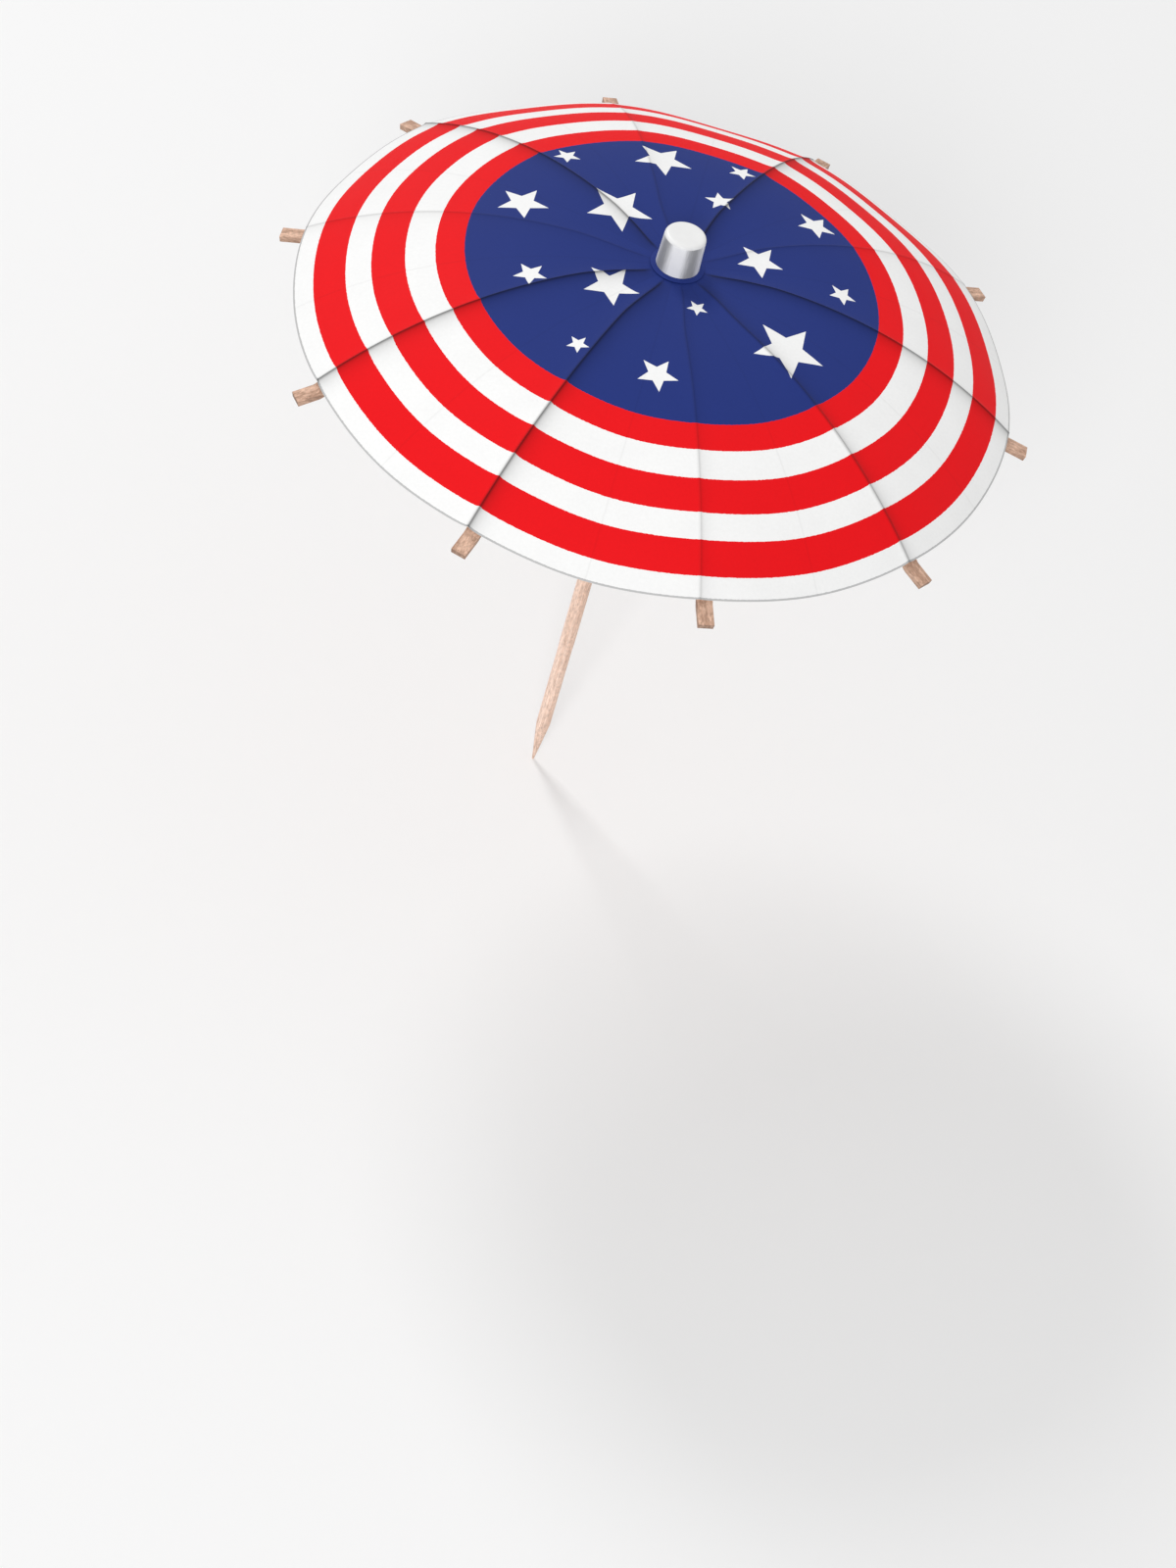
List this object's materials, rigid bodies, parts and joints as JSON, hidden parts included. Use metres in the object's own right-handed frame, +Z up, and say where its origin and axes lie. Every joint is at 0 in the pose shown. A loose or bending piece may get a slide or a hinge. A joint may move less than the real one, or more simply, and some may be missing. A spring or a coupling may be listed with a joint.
{
  "type": "cocktail umbrella pick",
  "caption": "Small paper parasol on a pointed wooden stick, domed and printed with rings and stars, that folds down its stick.",
  "frame": {"origin": "on the stick's axis, at the top of the shank that is pushed into the garnish", "axes": "+Z up the stick to the cap, +X along rib 1"},
  "size_m": [0.1026, 0.0982, 0.1023],
  "materials": {
    "pick_wood": "raw pale birch",
    "rib_wood": "raw split wood",
    "printed_paper": "printed matt paper",
    "plain_paper": "plain rolled paper",
    "white_plastic": "satin white",
    "collar_plastic": "satin off-white",
    "ring_plastic": "soft clear-white",
    "thread": "cotton thread"
  },
  "bodies": {
    "pick": {"stick": "pick_wood", "cap": "white_plastic", "canopy_crown": "printed_paper", "hub": "collar_plastic", "hub_thread": "thread", "spacer_sleeve": "plain_paper"},
    "rib_1": {"rib_1": "rib_wood", "tie_1": "thread", "canopy_panel_1": "printed_paper"},
    "rib_2": {"rib_2": "rib_wood", "tie_2": "thread", "canopy_panel_2": "printed_paper"},
    "rib_3": {"rib_3": "rib_wood", "tie_3": "thread", "canopy_panel_3": "printed_paper"},
    "rib_4": {"rib_4": "rib_wood", "tie_4": "thread", "canopy_panel_4": "printed_paper"},
    "rib_5": {"rib_5": "rib_wood", "tie_5": "thread", "canopy_panel_5": "printed_paper"},
    "rib_6": {"rib_6": "rib_wood", "tie_6": "thread", "canopy_panel_6": "printed_paper"},
    "rib_7": {"rib_7": "rib_wood", "tie_7": "thread", "canopy_panel_7": "printed_paper"},
    "rib_8": {"rib_8": "rib_wood", "tie_8": "thread", "canopy_panel_8": "printed_paper"},
    "rib_9": {"rib_9": "rib_wood", "tie_9": "thread", "canopy_panel_9": "printed_paper"},
    "rib_10": {"rib_10": "rib_wood", "tie_10": "thread", "canopy_panel_10": "printed_paper"},
    "stretcher_1": {"stretcher_1": "rib_wood"},
    "stretcher_2": {"stretcher_2": "rib_wood"},
    "stretcher_3": {"stretcher_3": "rib_wood"},
    "stretcher_4": {"stretcher_4": "rib_wood"},
    "stretcher_5": {"stretcher_5": "rib_wood"},
    "stretcher_6": {"stretcher_6": "rib_wood"},
    "stretcher_7": {"stretcher_7": "rib_wood"},
    "stretcher_8": {"stretcher_8": "rib_wood"},
    "stretcher_9": {"stretcher_9": "rib_wood"},
    "stretcher_10": {"stretcher_10": "rib_wood"},
    "runner": {"runner": "collar_plastic", "runner_thread": "thread"},
    "retaining_ring": {"retaining_ring": "ring_plastic"}
  },
  "joints": [
    {"name": "canopy_fold", "type": "hinge", "parent": "pick", "child": "rib_1", "pos_m": [0.0031, 0, 0.07225], "axis": [0, 1, 0], "range_deg": [0, 68], "deforming": ["canopy_panel_1"]},
    {"name": "rib_hinge_2", "type": "hinge", "parent": "pick", "child": "rib_2", "pos_m": [0.00251, 0.00182, 0.07225], "axis": [-0.5878, 0.809, 0], "range_deg": [0, 68], "deforming": ["canopy_panel_2"]},
    {"name": "rib_hinge_3", "type": "hinge", "parent": "pick", "child": "rib_3", "pos_m": [0.00096, 0.00295, 0.07225], "axis": [-0.9511, 0.309, 0], "range_deg": [0, 68], "deforming": ["canopy_panel_3"]},
    {"name": "rib_hinge_4", "type": "hinge", "parent": "pick", "child": "rib_4", "pos_m": [-0.00096, 0.00295, 0.07225], "axis": [-0.9511, -0.309, 0], "range_deg": [0, 68], "deforming": ["canopy_panel_4"]},
    {"name": "rib_hinge_5", "type": "hinge", "parent": "pick", "child": "rib_5", "pos_m": [-0.00251, 0.00182, 0.07225], "axis": [-0.5878, -0.809, 0], "range_deg": [0, 68], "deforming": ["canopy_panel_5"]},
    {"name": "rib_hinge_6", "type": "hinge", "parent": "pick", "child": "rib_6", "pos_m": [-0.0031, 0, 0.07225], "axis": [0, -1, 0], "range_deg": [0, 68], "deforming": ["canopy_panel_6"]},
    {"name": "rib_hinge_7", "type": "hinge", "parent": "pick", "child": "rib_7", "pos_m": [-0.00251, -0.00182, 0.07225], "axis": [0.5878, -0.809, 0], "range_deg": [0, 68], "deforming": ["canopy_panel_7"]},
    {"name": "rib_hinge_8", "type": "hinge", "parent": "pick", "child": "rib_8", "pos_m": [-0.00096, -0.00295, 0.07225], "axis": [0.9511, -0.309, 0], "range_deg": [0, 68], "deforming": ["canopy_panel_8"]},
    {"name": "rib_hinge_9", "type": "hinge", "parent": "pick", "child": "rib_9", "pos_m": [0.00096, -0.00295, 0.07225], "axis": [0.9511, 0.309, 0], "range_deg": [0, 68], "deforming": ["canopy_panel_9"]},
    {"name": "rib_hinge_10", "type": "hinge", "parent": "pick", "child": "rib_10", "pos_m": [0.00251, -0.00182, 0.07225], "axis": [0.5878, 0.809, 0], "range_deg": [0, 68], "deforming": ["canopy_panel_10"]},
    {"name": "stretcher_hinge_1", "type": "hinge", "parent": "rib_1", "child": "stretcher_1", "pos_m": [0.0288, 0, 0.06845], "axis": [0, 1, 0], "range_deg": [-136, 0]},
    {"name": "stretcher_hinge_2", "type": "hinge", "parent": "rib_2", "child": "stretcher_2", "pos_m": [0.0233, 0.01693, 0.06845], "axis": [-0.5878, 0.809, 0], "range_deg": [-136, 0]},
    {"name": "stretcher_hinge_3", "type": "hinge", "parent": "rib_3", "child": "stretcher_3", "pos_m": [0.0089, 0.02739, 0.06845], "axis": [-0.9511, 0.309, 0], "range_deg": [-136, 0]},
    {"name": "stretcher_hinge_4", "type": "hinge", "parent": "rib_4", "child": "stretcher_4", "pos_m": [-0.0089, 0.02739, 0.06845], "axis": [-0.9511, -0.309, 0], "range_deg": [-136, 0]},
    {"name": "stretcher_hinge_5", "type": "hinge", "parent": "rib_5", "child": "stretcher_5", "pos_m": [-0.0233, 0.01693, 0.06845], "axis": [-0.5878, -0.809, 0], "range_deg": [-136, 0]},
    {"name": "stretcher_hinge_6", "type": "hinge", "parent": "rib_6", "child": "stretcher_6", "pos_m": [-0.0288, 0, 0.06845], "axis": [0, -1, 0], "range_deg": [-136, 0]},
    {"name": "stretcher_hinge_7", "type": "hinge", "parent": "rib_7", "child": "stretcher_7", "pos_m": [-0.0233, -0.01693, 0.06845], "axis": [0.5878, -0.809, 0], "range_deg": [-136, 0]},
    {"name": "stretcher_hinge_8", "type": "hinge", "parent": "rib_8", "child": "stretcher_8", "pos_m": [-0.0089, -0.02739, 0.06845], "axis": [0.9511, -0.309, 0], "range_deg": [-136, 0]},
    {"name": "stretcher_hinge_9", "type": "hinge", "parent": "rib_9", "child": "stretcher_9", "pos_m": [0.0089, -0.02739, 0.06845], "axis": [0.9511, 0.309, 0], "range_deg": [-136, 0]},
    {"name": "stretcher_hinge_10", "type": "hinge", "parent": "rib_10", "child": "stretcher_10", "pos_m": [0.0233, -0.01693, 0.06845], "axis": [0.5878, 0.809, 0], "range_deg": [-136, 0]},
    {"name": "runner_hinge", "type": "hinge", "parent": "stretcher_1", "child": "runner", "pos_m": [0.0031, 0, 0.06465], "axis": [0, 1, 0], "range_deg": [0, 68]},
    {"name": "retaining_ring_slide", "type": "slide", "parent": "runner", "child": "retaining_ring", "axis": [0, 0, -1], "range_m": [0, 0.01]}
  ],
  "couplings": [
    {"joint": "rib_hinge_2", "follows": "canopy_fold", "ratio": 1},
    {"joint": "rib_hinge_3", "follows": "canopy_fold", "ratio": 1},
    {"joint": "rib_hinge_4", "follows": "canopy_fold", "ratio": 1},
    {"joint": "rib_hinge_5", "follows": "canopy_fold", "ratio": 1},
    {"joint": "rib_hinge_6", "follows": "canopy_fold", "ratio": 1},
    {"joint": "rib_hinge_7", "follows": "canopy_fold", "ratio": 1},
    {"joint": "rib_hinge_8", "follows": "canopy_fold", "ratio": 1},
    {"joint": "rib_hinge_9", "follows": "canopy_fold", "ratio": 1},
    {"joint": "rib_hinge_10", "follows": "canopy_fold", "ratio": 1},
    {"joint": "stretcher_hinge_1", "follows": "canopy_fold", "ratio": -2},
    {"joint": "stretcher_hinge_2", "follows": "canopy_fold", "ratio": -2},
    {"joint": "stretcher_hinge_3", "follows": "canopy_fold", "ratio": -2},
    {"joint": "stretcher_hinge_4", "follows": "canopy_fold", "ratio": -2},
    {"joint": "stretcher_hinge_5", "follows": "canopy_fold", "ratio": -2},
    {"joint": "stretcher_hinge_6", "follows": "canopy_fold", "ratio": -2},
    {"joint": "stretcher_hinge_7", "follows": "canopy_fold", "ratio": -2},
    {"joint": "stretcher_hinge_8", "follows": "canopy_fold", "ratio": -2},
    {"joint": "stretcher_hinge_9", "follows": "canopy_fold", "ratio": -2},
    {"joint": "stretcher_hinge_10", "follows": "canopy_fold", "ratio": -2},
    {"joint": "runner_hinge", "follows": "canopy_fold", "ratio": 1}
  ]
}
